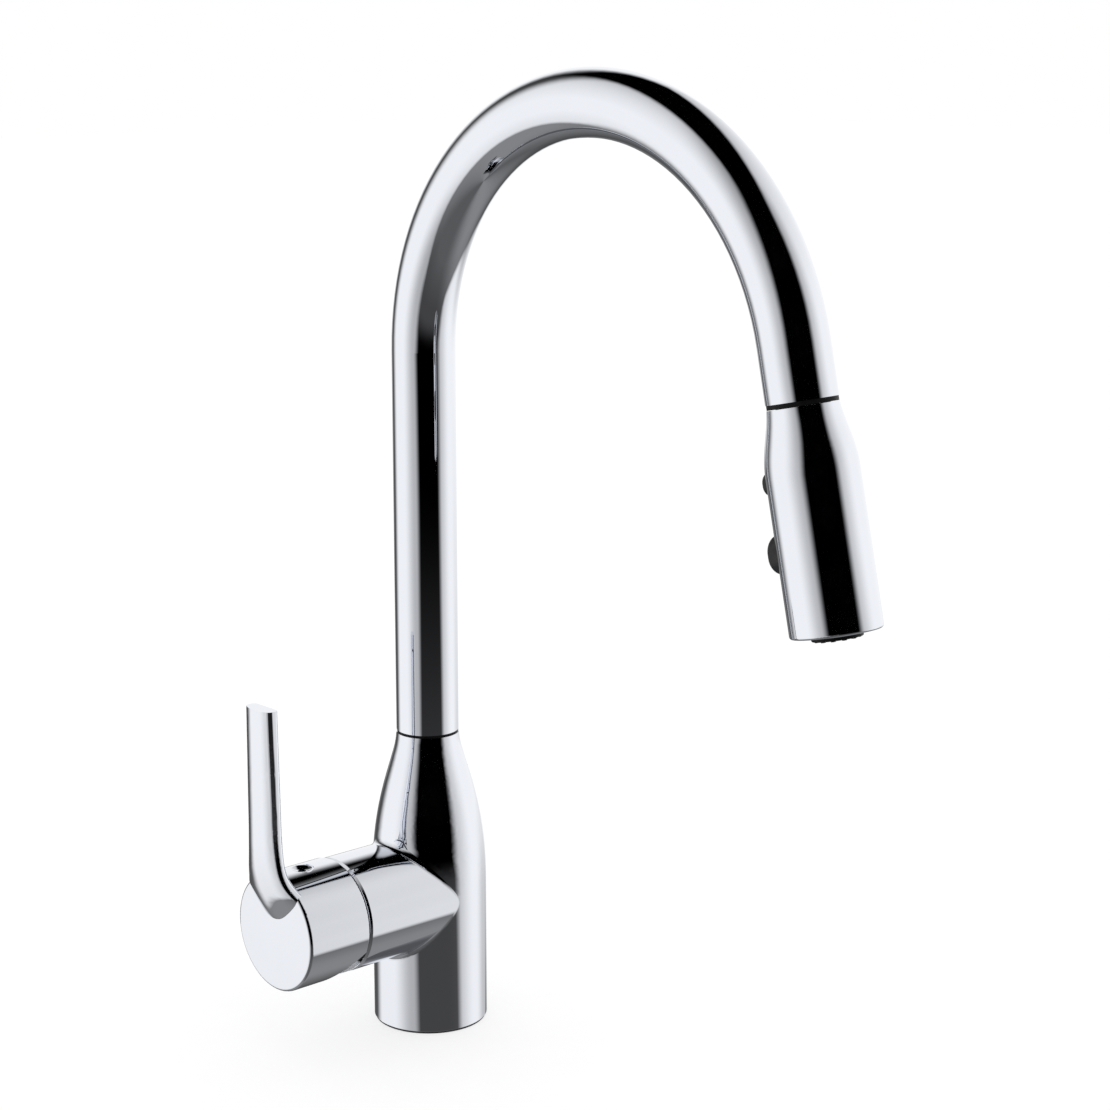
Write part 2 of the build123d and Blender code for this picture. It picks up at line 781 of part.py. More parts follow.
with BuildPart() as hose_plug:
    with BuildSketch(Plane.XY.offset(hose_start + hose_plug_length / 2)):
        Circle(hose_plug_radius)
    extrude(amount=-hose_plug_length)
    with BuildSketch(Plane.XY.offset(hose_start)):
        Circle(hose_radius)
    extrude(amount=hose_plug_length, mode=Mode.SUBTRACT)
    with BuildSketch(Plane.XY.offset(hose_start)):
        Circle(hose_radius - hose_wall)
    extrude(amount=-hose_plug_length, mode=Mode.SUBTRACT)
hose_plug.part.label = "hose_plug"
export_step(hose_plug.part, "parts/hose_plug.step")

# Dock in the end of the spout
with BuildPart() as dock_sleeve:
    with BuildSketch(head.offset(-dock_ring_height)):
        Circle(bush_radius)
        Circle(dock_bore, mode=Mode.SUBTRACT)
    extrude(amount=-dock_sleeve_length)
dock_sleeve.part.label = "dock_sleeve"
export_step(dock_sleeve.part, "parts/dock_sleeve.step")

with BuildPart() as dock_ring:
    with BuildSketch(head.offset(-dock_ring_height)):
        Circle(tube_radius - 0.3)
        Circle(dock_bore, mode=Mode.SUBTRACT)
    extrude(amount=dock_ring_height - 3 * water_film)
dock_ring.part.label = "dock_ring"
export_step(dock_ring.part, "parts/dock_ring.step")

# Crimped end of the hose, which turns in the nut of the head
nipple_collar = inlet_radius - 1
collar_start = inlet_depth - spigot_length - 3.2
with BuildPart() as hose_nipple:
    with BuildSketch(head.offset(collar_start)):
        Circle(nipple_collar)
    extrude(amount=1.9)
    with BuildSketch(head.offset(collar_start)):
        Circle(hose_radius - hose_wall + 0.5)
    extrude(amount=hose_top - collar_start)
    with BuildSketch(head.offset(hose_top)):
        Circle(hose_radius - hose_wall)
    extrude(amount=-7)
    with BuildSketch(head.offset(hose_top - 7)):
        Circle(hose_radius - hose_wall - 1.2)
    extrude(amount=20, mode=Mode.SUBTRACT)
hose_nipple.part.label = "hose_nipple"
export_step(hose_nipple.part, "parts/hose_nipple.step")

with BuildPart() as hose_ferrule:
    with BuildSketch(head.offset(hose_top + 0.7)):
        Circle(hose_radius + 1.2)
        Circle(hose_radius - hose_wall + 0.5, mode=Mode.SUBTRACT)
    extrude(amount=-0.7)
    with BuildSketch(head.offset(hose_top)):
        Circle(hose_radius + 1.2)
        Circle(hose_radius + run_clearance, mode=Mode.SUBTRACT)
    extrude(amount=-7)
hose_ferrule.part.label = "hose_ferrule"
export_step(hose_ferrule.part, "parts/hose_ferrule.step")

# Spray head
seat = inlet_depth - spigot_length
with BuildPart() as head_core:
    with BuildSketch(head.offset(-spigot_length)):
        Circle(spigot_radius)
    extrude(amount=spigot_length + spigot_flange)
    with BuildSketch(head.offset(spigot_flange)):
        Circle(spigot_radius + 1)
    extrude(amount=spigot_flange)
    with BuildSketch(head.offset(spigot_flange)):
        Circle(check_valve_radius + 2)
    extrude(amount=seat + check_valve_length)
    with BuildSketch(head):
        Circle(core_column_radius)
    extrude(amount=core_foot_start)
    with BuildSketch(head.offset(core_foot_start)):
        Circle(head_bore)
    extrude(amount=core_foot_height)
    with BuildSketch(head.offset(-spigot_length)):
        Circle(inlet_radius)
    extrude(amount=inlet_depth, mode=Mode.SUBTRACT)
    with BuildSketch(head.offset(seat)):
        Circle(check_valve_radius)
    extrude(amount=check_valve_length, mode=Mode.SUBTRACT)
    with BuildSketch(head):
        Circle(core_bore_radius)
    extrude(amount=core_foot_start + core_foot_height, mode=Mode.SUBTRACT)
    for station in (upper_button_station, lower_button_station):
        with BuildSketch(button_plane(station).offset(spring_seat)):
            Circle(spring_radius + 1)
        extrude(amount=head_radius, mode=Mode.SUBTRACT)
        with BuildSketch(button_plane(station)):
            Circle(plunger_radius + loose_clearance)
        extrude(amount=head_radius, mode=Mode.SUBTRACT)
head_core.part.label = "head_core"
export_step(head_core.part, "parts/head_core.step")

with BuildPart() as head_shell:
    with BuildSketch(head_side):
        with BuildLine():
            flare = Spline(
                (head_neck_radius, 0),
                (head_neck_radius + 0.49 * (head_radius - head_neck_radius), 0.42 * flare_length),
                (head_radius, flare_length),
                tangents=[(0.1, 1), (0, 1)],
            )
            barrel = Line(flare @ 1, (head_radius, head_length - rim_radius))
            rim = JernArc(start=barrel @ 1, tangent=(0, 1), radius=rim_radius, arc_size=90)
            Polyline(
                rim @ 1,
                (head_bore, head_length),
                (head_bore, flare_length),
                (spigot_radius + 1, 2 * spigot_flange),
                (spigot_radius + 1, spigot_flange),
                (spigot_radius, spigot_flange),
                (spigot_radius, 0),
                flare @ 0,
            )
        make_face()
    revolve(axis=head_axis)
    with BuildSketch(button_plane(upper_button_station)):
        RectangleRounded(
            upper_button_width + 2 * loose_clearance,
            upper_button_height + 2 * loose_clearance,
            upper_button_height * 0.45 + loose_clearance,
        )
    extrude(amount=2 * head_radius, mode=Mode.SUBTRACT)
    with BuildSketch(button_plane(lower_button_station)):
        RectangleRounded(
            lower_button_width + 2 * loose_clearance,
            lower_button_height + 2 * loose_clearance,
            lower_button_height * 0.45 + loose_clearance,
        )
    extrude(amount=2 * head_radius, mode=Mode.SUBTRACT)
head_shell.part.label = "head_shell"
export_step(head_shell.part, "parts/head_shell.step")

with BuildPart() as hose_nut:
    with BuildSketch(head.offset(-spigot_length - nut_head_height)):
        RegularPolygon(nut_head_radius, 6)
    extrude(amount=nut_head_height)
    with BuildSketch(head.offset(-spigot_length)):
        Circle(inlet_radius)
    extrude(amount=collar_start + spigot_length - loose_clearance)
    with BuildSketch(head.offset(-spigot_length - nut_head_height)):
        Circle(hose_radius - hose_wall + 0.5 + loose_clearance)
    extrude(amount=spigot_length + nut_head_height, mode=Mode.SUBTRACT)
hose_nut.part.label = "hose_nut"
export_step(hose_nut.part, "parts/hose_nut.step")

with BuildPart() as inlet_washer:
    with BuildSketch(head.offset(seat)):
        Circle(inlet_radius)
        Circle(core_bore_radius, mode=Mode.SUBTRACT)
    extrude(amount=-1.2)
inlet_washer.part.label = "inlet_washer"
export_step(inlet_washer.part, "parts/inlet_washer.step")

with BuildPart() as check_valve:
    with BuildSketch(head.offset(seat)):
        Circle(check_valve_radius)
        Circle(core_bore_radius - 0.5, mode=Mode.SUBTRACT)
    extrude(amount=check_valve_length)
check_valve.part.label = "check_valve"
export_step(check_valve.part, "parts/check_valve.step")

# Spray face with its soft nozzles and the aerator
face_start = core_foot_start + core_foot_height
face_end = head_length - face_recess
face_boss_end = head_length + face_boss_projection
pad_floor = face_end - face_thickness
inner_circle = (aerator_radius + face_boss_radius) / 2
outer_circle = (face_boss_radius + head_bore) / 2
cup_mouth = face_start + 2
with BuildPart() as face_seal:
    with BuildSketch(head.offset(face_start)):
        Circle(head_bore)
        Circle(head_bore - 1.6, mode=Mode.SUBTRACT)
    extrude(amount=2)
face_seal.part.label = "face_seal"
export_step(face_seal.part, "parts/face_seal.step")

with BuildPart() as spray_face:
    with BuildSketch(head.offset(cup_mouth)):
        Circle(head_bore)
    extrude(amount=face_end - cup_mouth)
    chamfer(spray_face.faces().sort_by(head_axis)[-1].edges(), 0.6)
    with BuildSketch(head.offset(face_end)):
        Circle(face_boss_radius)
    extrude(amount=face_boss_end - face_end)
    fillet(spray_face.faces().sort_by(head_axis)[-1].edges(), 0.5)
    with BuildSketch(head.offset(cup_mouth)):
        Circle(head_bore - 1.6)
    extrude(amount=pad_floor - cup_mouth, mode=Mode.SUBTRACT)
    with BuildSketch(head.offset(cup_mouth)):
        Circle(aerator_radius)
        with PolarLocations(inner_circle, inner_nozzles):
            Circle(nozzle_radius)
        with PolarLocations(outer_circle, outer_nozzles):
            Circle(nozzle_radius)
    extrude(amount=2 * head_radius, mode=Mode.SUBTRACT)
spray_face.part.label = "spray_face"
export_step(spray_face.part, "parts/spray_face.step")

with BuildPart() as nozzle_pad:
    with BuildSketch(head.offset(pad_floor)):
        Circle(head_bore - 1.6)
        Circle(aerator_radius, mode=Mode.SUBTRACT)
    extrude(amount=-pad_thickness)
    with BuildSketch(head.offset(pad_floor)):
        with PolarLocations(inner_circle, inner_nozzles):
            Circle(nozzle_radius)
    extrude(amount=face_boss_end + nozzle_projection - pad_floor)
    with BuildSketch(head.offset(pad_floor)):
        with PolarLocations(outer_circle, outer_nozzles):
            Circle(nozzle_radius)
    extrude(amount=face_end + nozzle_projection - pad_floor)
    with BuildSketch(head.offset(pad_floor - pad_thickness)):
        with PolarLocations(inner_circle, inner_nozzles):
            Circle(nozzle_radius * 0.45)
        with PolarLocations(outer_circle, outer_nozzles):
            Circle(nozzle_radius * 0.45)
    extrude(amount=2 * head_radius, mode=Mode.SUBTRACT)
nozzle_pad.part.label = "nozzle_pad"
export_step(nozzle_pad.part, "parts/nozzle_pad.step")

aerator_start = pad_floor - pad_thickness - 1
with BuildPart() as aerator_cup:
    with BuildSketch(head.offset(aerator_start)):
        Circle(aerator_radius)
        Circle(aerator_radius - aerator_wall, mode=Mode.SUBTRACT)
    extrude(amount=face_boss_end - aerator_start)
aerator_cup.part.label = "aerator_cup"
export_step(aerator_cup.part, "parts/aerator_cup.step")

with BuildPart() as aerator_screen:
    with BuildSketch(head.offset(face_boss_end - 1)):
        Circle(aerator_radius - aerator_wall)
        with PolarLocations(aerator_radius * 0.52, 8):
            Circle(aerator_radius * 0.12, mode=Mode.SUBTRACT)
        with PolarLocations(aerator_radius * 0.22, 3):
            Circle(aerator_radius * 0.12, mode=Mode.SUBTRACT)
    extrude(amount=-1)
aerator_screen.part.label = "aerator_screen"
export_step(aerator_screen.part, "parts/aerator_screen.step")

# Buttons with their valve pieces and springs
flange_back = button_flange_front - button_flange_thickness
with BuildPart() as upper_button:
    with BuildSketch(button_plane(upper_button_station).offset(flange_back)):
        RectangleRounded(
            upper_button_width + 2 * button_flange,
            upper_button_height + 2 * button_flange,
            upper_button_height * 0.45,
        )
    extrude(amount=button_flange_thickness)
    with BuildSketch(button_plane(upper_button_station).offset(flange_back)):
        RectangleRounded(upper_button_width, upper_button_height, upper_button_height * 0.45)
    extrude(amount=head_radius + upper_button_proud - flange_back)
    fillet(upper_button.faces().sort_by(Axis(seam, -head.y_dir))[-1].edges(), 1.2)
upper_button.part.label = "upper_button"
export_step(upper_button.part, "parts/upper_button.step")

with BuildPart() as lower_button:
    with BuildSketch(button_plane(lower_button_station).offset(flange_back)):
        RectangleRounded(
            lower_button_width + 2 * button_flange,
            lower_button_height + 2 * button_flange,
            lower_button_height * 0.45,
        )
    extrude(amount=button_flange_thickness)
    with BuildSketch(button_plane(lower_button_station).offset(flange_back)):
        RectangleRounded(lower_button_width, lower_button_height, lower_button_height * 0.45)
    extrude(amount=head_radius + lower_button_proud - flange_back)
    fillet(lower_button.faces().sort_by(Axis(seam, -head.y_dir))[-1].edges(), 2.2)
lower_button.part.label = "lower_button"
export_step(lower_button.part, "parts/lower_button.step")

pause_end = upper_button_travel + loose_clearance
with BuildPart() as pause_plunger:
    with BuildSketch(button_plane(upper_button_station).offset(pause_end)):
        Circle(plunger_radius)
    extrude(amount=flange_back - pause_end)
pause_plunger.part.label = "pause_plunger"
export_step(pause_plunger.part, "parts/pause_plunger.step")

spool_end = lower_button_travel + loose_clearance
with BuildPart() as diverter_spool:
    with BuildSketch(button_plane(lower_button_station).offset(spool_end)):
        Circle(plunger_radius)
    extrude(amount=flange_back - spool_end)
diverter_spool.part.label = "diverter_spool"
export_step(diverter_spool.part, "parts/diverter_spool.step")

spring_height = flange_back - spring_seat - 2 * spring_wire
spring_base = spring_seat + spring_wire
with BuildPart() as upper_spring:
    with BuildLine(button_plane(upper_button_station).offset(spring_base)) as upper_coil:
        Helix(spring_height / spring_turns, spring_height, spring_radius, direction=-head.y_dir)
    with BuildSketch(Plane(origin=upper_coil.line @ 0, z_dir=upper_coil.line % 0)):
        Circle(spring_wire)
    sweep(path=upper_coil.wire(), is_frenet=True)
upper_spring.part.label = "upper_spring"
export_step(upper_spring.part, "parts/upper_spring.step")

with BuildPart() as lower_spring:
    with BuildLine(button_plane(lower_button_station).offset(spring_base)) as lower_coil:
        Helix(spring_height / spring_turns, spring_height, spring_radius, direction=-head.y_dir)
    with BuildSketch(Plane(origin=lower_coil.line @ 0, z_dir=lower_coil.line % 0)):
        Circle(spring_wire)
    sweep(path=lower_coil.wire(), is_frenet=True)
lower_spring.part.label = "lower_spring"
export_step(lower_spring.part, "parts/lower_spring.step")
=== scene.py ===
import json
import math

import bpy
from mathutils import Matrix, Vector


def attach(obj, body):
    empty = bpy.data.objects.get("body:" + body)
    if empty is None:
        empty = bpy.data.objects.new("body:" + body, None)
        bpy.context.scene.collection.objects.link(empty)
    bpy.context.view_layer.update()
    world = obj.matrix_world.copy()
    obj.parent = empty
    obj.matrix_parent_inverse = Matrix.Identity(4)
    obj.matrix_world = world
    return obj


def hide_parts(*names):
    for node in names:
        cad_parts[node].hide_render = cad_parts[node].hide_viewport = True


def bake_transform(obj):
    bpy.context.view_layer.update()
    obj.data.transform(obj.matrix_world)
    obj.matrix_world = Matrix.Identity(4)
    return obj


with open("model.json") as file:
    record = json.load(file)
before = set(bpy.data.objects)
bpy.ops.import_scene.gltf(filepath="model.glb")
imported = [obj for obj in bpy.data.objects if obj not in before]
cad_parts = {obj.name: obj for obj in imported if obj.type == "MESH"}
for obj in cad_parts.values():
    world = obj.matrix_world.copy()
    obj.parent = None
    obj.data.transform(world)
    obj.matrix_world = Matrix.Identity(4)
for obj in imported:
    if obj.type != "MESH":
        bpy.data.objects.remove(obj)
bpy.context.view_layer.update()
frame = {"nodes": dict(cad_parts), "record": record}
nodes = frame["nodes"]
joints = {row["name"]: row for row in frame["record"]["behaviour"]["joints"]}
scene = bpy.context.scene

# Camera of the photograph: place, downward pitch and turn
camera_place = (-0.6813, -0.8220, 0.4455)
camera_pitch = math.radians(12.539)
camera_turn = math.radians(42.62)
camera_lens = 82.84
sensor_width = 36.0

# Route of the hose inside the spout, in the frame's metres
hose_radius = 0.006
hose_foot = 0.026
leg_top = 0.297
arch_radius = 0.1055
arch_end = math.radians(167.0)
hose_tail = 0.008

# Seam between the valve housing and the hub: its front along -X, the height where its painted shade starts
# and the height below which the hub's edge is cut away and a pale painted reflection lies on the bonnet
seam_front = 0.0534
seam_shade_foot = 0.0365
cut_top = 0.0425


class Net:
    """Short calls that add shader nodes to one node tree and wire them up."""

    def __init__(self, tree):
        self.tree = tree
        tree.nodes.clear()

    def add(self, kind, **values):
        node = self.tree.nodes.new(kind)
        for name, value in values.items():
            setattr(node, name, value)
        return node

    def put(self, socket, value):
        if isinstance(value, bpy.types.NodeSocket):
            self.tree.links.new(value, socket)
        else:
            socket.default_value = value

    def math(self, operation, *values):
        node = self.add("ShaderNodeMath", operation=operation)
        for socket, value in zip(node.inputs, values):
            self.put(socket, value)
        return node.outputs[0]

    def ramp(self, value, low, high, to_low=0.0, to_high=1.0, kind="SMOOTHSTEP"):
        node = self.add("ShaderNodeMapRange", interpolation_type=kind)
        for name, number in (("Value", value), ("From Min", low), ("From Max", high),
                             ("To Min", to_low), ("To Max", to_high)):
            self.put(node.inputs[name], number)
        return node.outputs[0]

    def dot(self, vector, direction):
        node = self.add("ShaderNodeVectorMath", operation="DOT_PRODUCT")
        self.put(node.inputs[0], vector)
        self.put(node.inputs[1], direction)
        return node.outputs["Value"]

    def noise(self, vector, scale, detail):
        node = self.add("ShaderNodeTexNoise")
        self.put(node.inputs["Vector"], vector)
        self.put(node.inputs["Scale"], scale)
        self.put(node.inputs["Detail"], detail)
        return node.outputs["Fac"]

    def mix_colour(self, factor, first, second):
        node = self.add("ShaderNodeMix", data_type="RGBA")
        self.put(node.inputs["Factor"], factor)
        self.put(node.inputs[6], first)
        self.put(node.inputs[7], second)
        return node.outputs[2]

    def bump(self, height, strength, distance):
        node = self.add("ShaderNodeBump")
        self.put(node.inputs["Strength"], strength)
        self.put(node.inputs["Distance"], distance)
        self.put(node.inputs["Height"], height)
        return node.outputs["Normal"]


def material(name):
    """A new material with a Principled shader, its node net and its object coordinates."""
    made = bpy.data.materials.new(name)
    made.use_nodes = True
    net = Net(made.node_tree)
    shader = net.add("ShaderNodeBsdfPrincipled")
    output = net.add("ShaderNodeOutputMaterial")
    net.tree.links.new(shader.outputs[0], output.inputs["Surface"])
    place = net.add("ShaderNodeTexCoord").outputs["Object"]
    return made, net, shader, place


def chrome():
    """Bright plating with a faint cloud in its colour and gloss."""
    made, net, shader, place = material("chrome_plate")
    cloud = net.noise(place, 35.0, 3.0)
    net.put(shader.inputs["Base Color"],
            net.mix_colour(cloud, (0.815, 0.835, 0.885, 1), (0.845, 0.865, 0.915, 1)))
    shader.inputs["Metallic"].default_value = 1.0
    net.put(shader.inputs["Roughness"], net.ramp(net.noise(place, 90.0, 4.0), 0.3, 0.7, 0.012, 0.035))
    return made


def plastic(name, dark, light, low, high, grain, depth, shine=0.5):
    """Moulded surface with a fine grain, between two colours and two roughnesses."""
    made, net, shader, place = material(name)
    shader.inputs["Specular IOR Level"].default_value = shine
    speck = net.noise(place, grain, 3.0)
    net.put(shader.inputs["Base Color"], net.mix_colour(speck, dark, light))
    net.put(shader.inputs["Roughness"], net.ramp(net.noise(place, grain / 6, 2.0), 0.3, 0.7, low, high))
    net.put(shader.inputs["Normal"], net.bump(speck, 0.5, depth))
    return made


def chrome_painted_shade_and_reflection():
    """Chrome with painted shade as a dark lining in the seam, and a pale painted reflection where the
    hub's lower edge is cut away.
    """
    made, net, shader, place = material("chrome_painted_shade_and_reflection")
    height = net.dot(place, (0, 0, 1))
    in_hub = net.ramp(net.dot(place, (-1, 0, 0)), seam_front - 0.0001, seam_front + 0.0001)
    # Painted reflection: below the cut in the hub's edge the bonnet turns matt and pale, so it lights up
    # like a bright reflection of the chrome
    painted_pale_reflection = net.math("MULTIPLY", in_hub, net.ramp(height, cut_top + 0.001, cut_top))
    in_seam = net.math("SUBTRACT", 1.0, in_hub)
    # Painted shade: the bonnet outside the hub is painted near-black and matt above the seam's foot, where
    # the groove lies in shade
    painted_seam_shade = net.math("MULTIPLY", in_seam, net.ramp(height, seam_shade_foot, seam_shade_foot + 0.0015))
    grain = net.noise(place, 900.0, 3.0)
    plate = net.mix_colour(grain, (0.80, 0.82, 0.87, 1), (0.84, 0.86, 0.91, 1))
    # The near-black colour here is the seam's painted shade
    net.put(shader.inputs["Base Color"], net.mix_colour(painted_seam_shade, plate, (0.006, 0.006, 0.007, 1)))
    # Metal is taken away where the painted shade and the painted pale reflection lie
    net.put(shader.inputs["Metallic"], net.math("SUBTRACT", 1.0, net.math("MAXIMUM", painted_seam_shade, painted_pale_reflection)))
    net.put(shader.inputs["Roughness"], net.ramp(painted_seam_shade, 0.0, 1.0, 0.03, 0.6))
    return made


def braid():
    """Nylon braid: two families of strands that wind against each other along the hose, with painted shade
    in the grooves between them.
    """
    made, net, shader, place = material("hose_braid")
    strands, lead = 14, 0.030
    split = net.add("ShaderNodeSeparateXYZ")
    net.put(split.inputs[0], net.add("ShaderNodeUVMap", uv_map="braid").outputs[0])
    along = net.math("DIVIDE", split.outputs["Y"], lead)
    ridges = []
    for way in ("ADD", "SUBTRACT"):
        wind = net.math(way, split.outputs["X"], along)
        ridges.append(net.math("SINE", net.math("MULTIPLY", wind, 2 * math.pi * strands)))
    height = net.math("MAXIMUM", *ridges)
    fuzz = net.noise(place, 2500.0, 2.0)
    # Painted shade: the colour darkens from the strands' crowns into the grooves between them, with a
    # random fuzz in tone
    groove_shade_and_fuzz = net.math("ADD", net.math("MULTIPLY", height, 0.8), net.math("MULTIPLY", fuzz, 0.4))
    net.put(shader.inputs["Base Color"],
            net.mix_colour(net.ramp(groove_shade_and_fuzz, -0.2, 1.0), (0.012, 0.012, 0.013, 1), (0.17, 0.17, 0.18, 1)))
    net.put(shader.inputs["Roughness"], net.ramp(fuzz, 0.3, 0.7, 0.42, 0.6))
    net.put(shader.inputs["Normal"], net.bump(height, 0.8, 0.0004))
    return made


def metal(name, dark, light, low, high):
    """Bare machined metal, between two colours and two roughnesses."""
    made, net, shader, place = material(name)
    speck = net.noise(place, 400.0, 4.0)
    net.put(shader.inputs["Base Color"], net.mix_colour(speck, dark, light))
    shader.inputs["Metallic"].default_value = 1.0
    net.put(shader.inputs["Roughness"], net.ramp(speck, 0.3, 0.7, low, high))
    return made


looks = {
    "chrome": chrome(),
    "brass": metal("machined_brass", (0.60, 0.44, 0.20, 1), (0.74, 0.57, 0.29, 1), 0.22, 0.36),
    "steel": metal("machined_steel", (0.50, 0.51, 0.52, 1), (0.66, 0.67, 0.68, 1), 0.2, 0.34),
    "rubber": plastic("soft_rubber", (0.012, 0.012, 0.013, 1), (0.028, 0.028, 0.030, 1),
                      0.55, 0.75, 2600.0, 0.00003),
    "button_black": plastic("button_rubber", (0.007, 0.007, 0.008, 1), (0.014, 0.014, 0.016, 1),
                            0.38, 0.55, 2200.0, 0.00003, 0.35),
    "black_plastic": plastic("black_plastic", (0.002, 0.002, 0.002, 1), (0.005, 0.005, 0.006, 1),
                             0.32, 0.5, 1800.0, 0.00002, 0.12),
    "inner_plastic": plastic("inner_plastic", (0.62, 0.62, 0.60, 1), (0.72, 0.72, 0.70, 1),
                             0.4, 0.55, 900.0, 0.00003),
    "ceramic": plastic("lapped_ceramic", (0.80, 0.79, 0.75, 1), (0.88, 0.87, 0.83, 1),
                       0.1, 0.22, 700.0, 0.00001),
    "hose_braid": braid(),
}
slot_of = {row["node"]: row["material_slot"] for row in frame["record"]["subparts"]}
for name, obj in nodes.items():
    obj.data.materials.clear()
    obj.data.materials.append(looks[slot_of[name]])
# The bonnet carries painted shade in the seam and a pale painted reflection below the hub's cut
nodes["bonnet"].data.materials[0] = chrome_painted_shade_and_reflection()


def tube(name, centres, lengths):
    """A closed tube through centres in the spout's plane, with the length along the hose in its UV map."""
    sides = 32
    mesh = bpy.data.meshes.new(name)
    points = []
    for index, centre in enumerate(centres):
        before = centres[max(index - 1, 0)]
        after = centres[min(index + 1, len(centres) - 1)]
        across = Vector((1, 0, 0)).cross(after - before).normalized()
        for side in range(sides):
            angle = 2 * math.pi * side / sides
            outward = math.cos(angle) * Vector((1, 0, 0)) + math.sin(angle) * across
            points.append(centre + hose_radius * outward)
    faces = [list(range(sides)), list(range(len(points) - 1, len(points) - sides - 1, -1))]
    corners = [[(0.0, lengths[0])] * sides, [(0.0, lengths[-1])] * sides]
    for row in range(len(centres) - 1):
        for side in range(sides):
            first, second = row * sides + side, row * sides + (side + 1) % sides
            faces.append([second, first, first + sides, second + sides])
            near, far = side / sides, (side + 1) / sides
            low, high = lengths[row], lengths[row + 1]
            corners.append([(far, low), (near, low), (near, high), (far, high)])
    mesh.from_pydata(points, [], faces)
    layer = mesh.uv_layers.new(name="braid")
    for polygon, corner in zip(mesh.polygons, corners):
        polygon.use_smooth = polygon.loop_total == 4
        for loop, place in zip(polygon.loop_indices, corner):
            layer.data[loop].uv = place
    piece = bpy.data.objects.new(name, mesh)
    scene.collection.objects.link(piece)
    mesh.materials.append(looks["hose_braid"])
    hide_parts("hose")
    return piece


def hose():
    """The hose stays in the spout but for its last stretch, a short separate piece at the arch's end."""
    reach = joints["head_pull"]["range_m"][1]
    leg_steps, arch_steps, draw_steps = 24, 60, 220
    rise = (leg_top - hose_foot) / leg_steps
    run = [Vector((0, 0, hose_foot + rise * step)) for step in range(leg_steps)]
    for step in range(arch_steps + 1):
        angle = arch_end * step / arch_steps
        back = arch_radius * (math.cos(angle) - 1)
        run.append(Vector((0, back, leg_top + arch_radius * math.sin(angle))))
    lengths = [0.0]
    for before, after in zip(run, run[1:]):
        lengths.append(lengths[-1] + (after - before).length)
    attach(tube("hose_run", run, lengths), "spout")

    down = Vector((0, -math.sin(arch_end), math.cos(arch_end)))
    shares = [step / draw_steps for step in range(draw_steps + 1)]
    tail = [run[-1] + down * hose_tail * share for share in shares]
    drawn = [hose_tail * share + reach * share * share * (3 - 2 * share) for share in shares]
    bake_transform(tube("hose_draw", tail, drawn))


def spring(name, button):
    """A copy of a button's spring, put in place of the original."""
    way = Vector(joints[button + "_press"]["axis"])
    piece = bpy.data.objects.new(name + "_coil", nodes[name].data.copy())
    piece.matrix_world = nodes[name].matrix_world
    scene.collection.objects.link(piece)
    depths = [way.dot(piece.matrix_world @ vertex.co) for vertex in piece.data.vertices]
    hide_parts(name)
    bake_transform(piece)


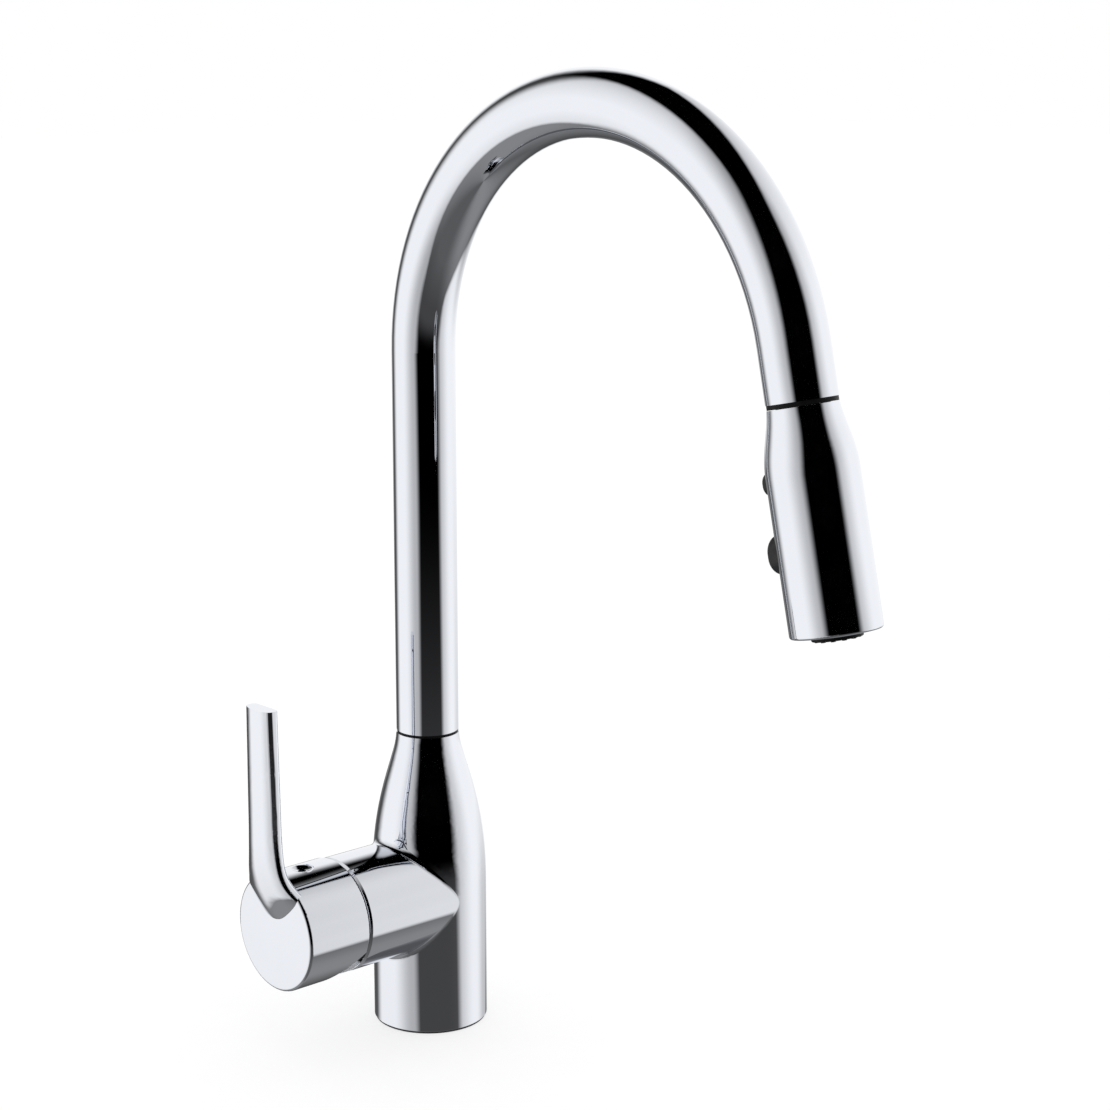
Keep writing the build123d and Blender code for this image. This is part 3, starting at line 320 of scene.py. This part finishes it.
def studio():
    """World that is white to matt surfaces, and a dark room with softboxes to polished metal."""
    world = bpy.data.worlds.new("studio")
    world.use_nodes = True
    net = Net(world.node_tree)
    way = net.add("ShaderNodeTexCoord").outputs["Generated"]
    front = (-math.sin(camera_turn), -math.cos(camera_turn), 0.0)
    right_hand = (math.cos(camera_turn), -math.sin(camera_turn), 0.0)
    turn = net.math("ARCTAN2", net.dot(way, right_hand), net.dot(way, front))
    turn = net.math("MULTIPLY", turn, math.degrees(1))
    away = net.math("ABSOLUTE", turn)
    rise = net.dot(way, (0, 0, 1))
    level = net.math("SQRT", net.math("SUBTRACT", 1.0, net.math("MULTIPLY", rise, rise)))
    slope = net.math("DIVIDE", rise, net.math("MAXIMUM", level, 0.01))

    def product(first, *rest):
        for factor in rest:
            first = net.math("MULTIPLY", first, factor)
        return first

    def largest(first, *rest):
        for other in rest:
            first = net.math("MAXIMUM", first, other)
        return first

    def height(centre, power=1.0):
        """Height on an upright panel that faces this turn, bent towards the object where power is low."""
        swing = net.math("MULTIPLY", net.math("SUBTRACT", turn, centre), math.radians(1))
        facing = net.math("MAXIMUM", net.math("COSINE", swing), 0.05)
        return net.math("DIVIDE", slope, net.math("POWER", facing, power))

    def panel(low, high, bottom):
        """Brightness of a softbox with a soft lower edge and a long fade to its top."""
        return product(
            net.ramp(low, *bottom),
            net.ramp(low, -1.0, -0.3, 0.82, 1.0, "LINEAR"),
            net.ramp(high, 2.45, 1.5),
            net.ramp(high, 0.2, 1.5, 1.0, 0.66, "LINEAR"),
        )

    # Softbox on the left
    left_lean = net.ramp(slope, -0.05, -0.22, 0.0, 8.0)
    left_draw = net.math("SUBTRACT", net.ramp(slope, 0.35, 0.0, 0.0, 6.0),
                         net.ramp(slope, -0.2, -0.4, 0.0, 3.0))
    left = product(
        panel(height(-85.0, 0.5), height(-80.0), (-1.14, -0.82)),
        net.ramp(net.math("SUBTRACT", turn, left_lean), -22.0, -40.0),
        net.ramp(turn, -33.0, -78.0, 0.52, 1.02),
        net.ramp(net.math("SUBTRACT", turn, left_draw), -145.0, -117.0, 0.08, 1.0),
    )

    # Softbox on the right
    right_lean = net.ramp(slope, -0.2, -0.55, 0.0, 10.0, "LINEAR")
    right_fade = product(net.ramp(turn, 112.0, 142.0),
                         net.ramp(slope, -0.15, -0.6, 0.0, 0.65, "LINEAR"))
    right = product(
        panel(height(102.0), height(102.0), (-0.80, -0.60)),
        net.ramp(net.math("SUBTRACT", turn, right_lean), 49.0, 67.0),
        net.ramp(turn, 52.0, 104.0, 0.56, 1.03),
        net.math("SUBTRACT", 1.0, right_fade),
    )

    # Backdrop behind the object and the dim strip under it
    backdrop_taper = net.ramp(slope, 0.2, 0.6, 0.0, 9.0)
    backdrop_drop = net.math("MULTIPLY", net.math("GREATER_THAN", turn, 0.0), 0.2)
    behind = product(
        net.ramp(net.math("SUBTRACT", away, backdrop_taper), 139.0, 169.0),
        net.ramp(net.math("ADD", slope, backdrop_drop), -0.30, -0.08),
        net.ramp(slope, 0.95, 0.5),
    )
    behind_low = product(
        net.ramp(away, 135.0, 165.0),
        net.ramp(slope, -0.65, -0.25, 0.0, 0.2),
        net.ramp(slope, 0.2, 0.0),
    )

    # Floor of the room, lighter below the two softboxes
    side = largest(
        net.math("MULTIPLY", net.ramp(turn, -15.0, -85.0), net.ramp(turn, -195.0, -110.0)),
        net.math("MULTIPLY", net.ramp(turn, 35.0, 115.0), net.ramp(turn, 185.0, 125.0)),
    )
    ground = net.math("ADD", net.ramp(slope, -0.19, -0.40, 0.0, 0.062),
                      net.ramp(slope, -0.5, -1.1, 0.0, 0.05, "LINEAR"))
    ground = net.math("ADD", ground, product(side, net.ramp(slope, -0.15, -0.85), 0.15))

    glow = largest(left, right, behind, behind_low, ground)
    ray = net.add("ShaderNodeLightPath")
    colour = net.mix_colour(ray.outputs["Is Glossy Ray"], (1, 1, 1, 1), glow)
    lit = net.add("ShaderNodeBackground")
    net.put(lit.inputs["Color"], colour)
    output = net.add("ShaderNodeOutputWorld")
    net.tree.links.new(lit.outputs[0], output.inputs["Surface"])
    scene.world = world


def floor():
    """White ground that takes the object's shadow."""
    bpy.ops.mesh.primitive_plane_add(size=12.0, location=(0, 0, -0.0003))
    plane = bpy.context.object
    plane.name = "floor"
    made, net, shader, place = material("floor_white")
    grain = net.noise(place, 60.0, 2.0)
    net.put(shader.inputs["Base Color"],
            net.mix_colour(grain, (0.30, 0.30, 0.30, 1), (0.32, 0.32, 0.32, 1)))
    shader.inputs["Roughness"].default_value = 1.0
    shader.inputs["Specular IOR Level"].default_value = 0.0
    shader.inputs["Emission Color"].default_value = (1, 1, 1, 1)
    shader.inputs["Emission Strength"].default_value = 0.72
    plane.data.materials.append(made)
    plane.visible_glossy = False


def camera():
    """Camera that stands where the photograph was taken."""
    view = bpy.data.cameras.new("camera")
    view.lens = camera_lens
    view.sensor_width = sensor_width
    holder = bpy.data.objects.new("camera", view)
    holder.location = camera_place
    holder.rotation_euler = (math.radians(90) - camera_pitch, 0, -camera_turn)
    scene.collection.objects.link(holder)
    scene.camera = holder


hose()
spring("upper_spring", "upper_button")
spring("lower_spring", "lower_button")
studio()
floor()
camera()
scene.view_settings.view_transform = "Standard"
